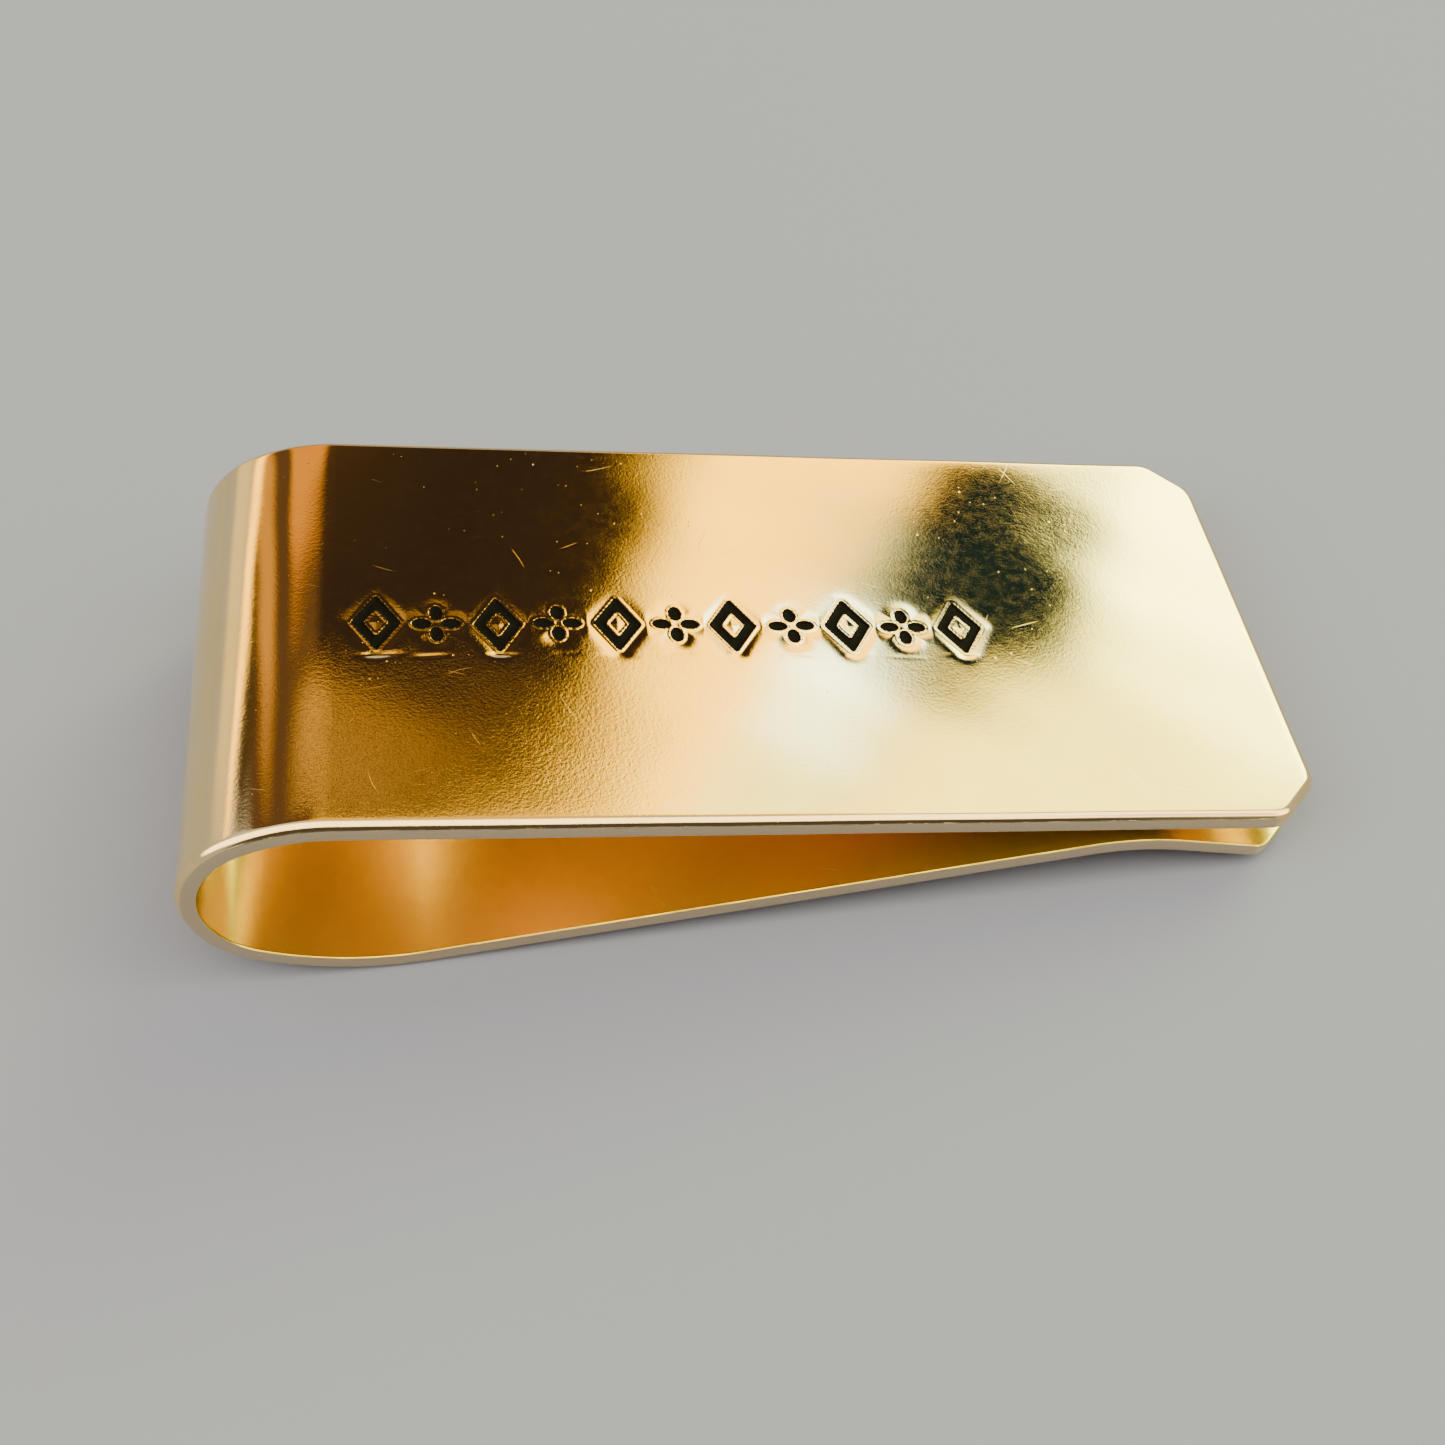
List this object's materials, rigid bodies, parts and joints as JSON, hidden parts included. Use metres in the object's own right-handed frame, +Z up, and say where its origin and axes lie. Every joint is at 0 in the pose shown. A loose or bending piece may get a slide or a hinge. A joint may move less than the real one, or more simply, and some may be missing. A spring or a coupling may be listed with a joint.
{
  "type": "money clip",
  "caption": "Spring money clip bent from one polished brass strip, with a flat face plate, a sprung back leg with a flared lip, and a row of black-filled ornamental punch marks.",
  "frame": {"origin": "centre of the bounding box on the table plane, with the clip lying on the belly of its bend and on its lip", "axes": "+X along the clip from the bend to the open end, +Y across the strip, +Z up; the face plate is on top and slopes 9.64 degrees down towards +X"},
  "size_m": [0.0542, 0.0254, 0.0116],
  "materials": {
    "brass": "polished sheet with faint orange peel, fine scratches and softened edges",
    "enamel": "black filling wiped flush into the punch marks, slightly dull"
  },
  "bodies": {
    "leg": {"back_leg": "brass", "grip_lip": "brass"},
    "plate": {"face_plate": "brass", "spring_bend": "brass", "stamp_enamel": "enamel"}
  },
  "joints": [
    {"name": "clip_flex", "type": "hinge", "parent": "leg", "child": "plate", "pos_m": [-0.02199, 0, 0.00622], "axis": [0, -1, 0], "range_deg": [-0.8, 8], "stiffness_Nm_per_rad": 5, "deforming": ["spring_bend"]}
  ]
}
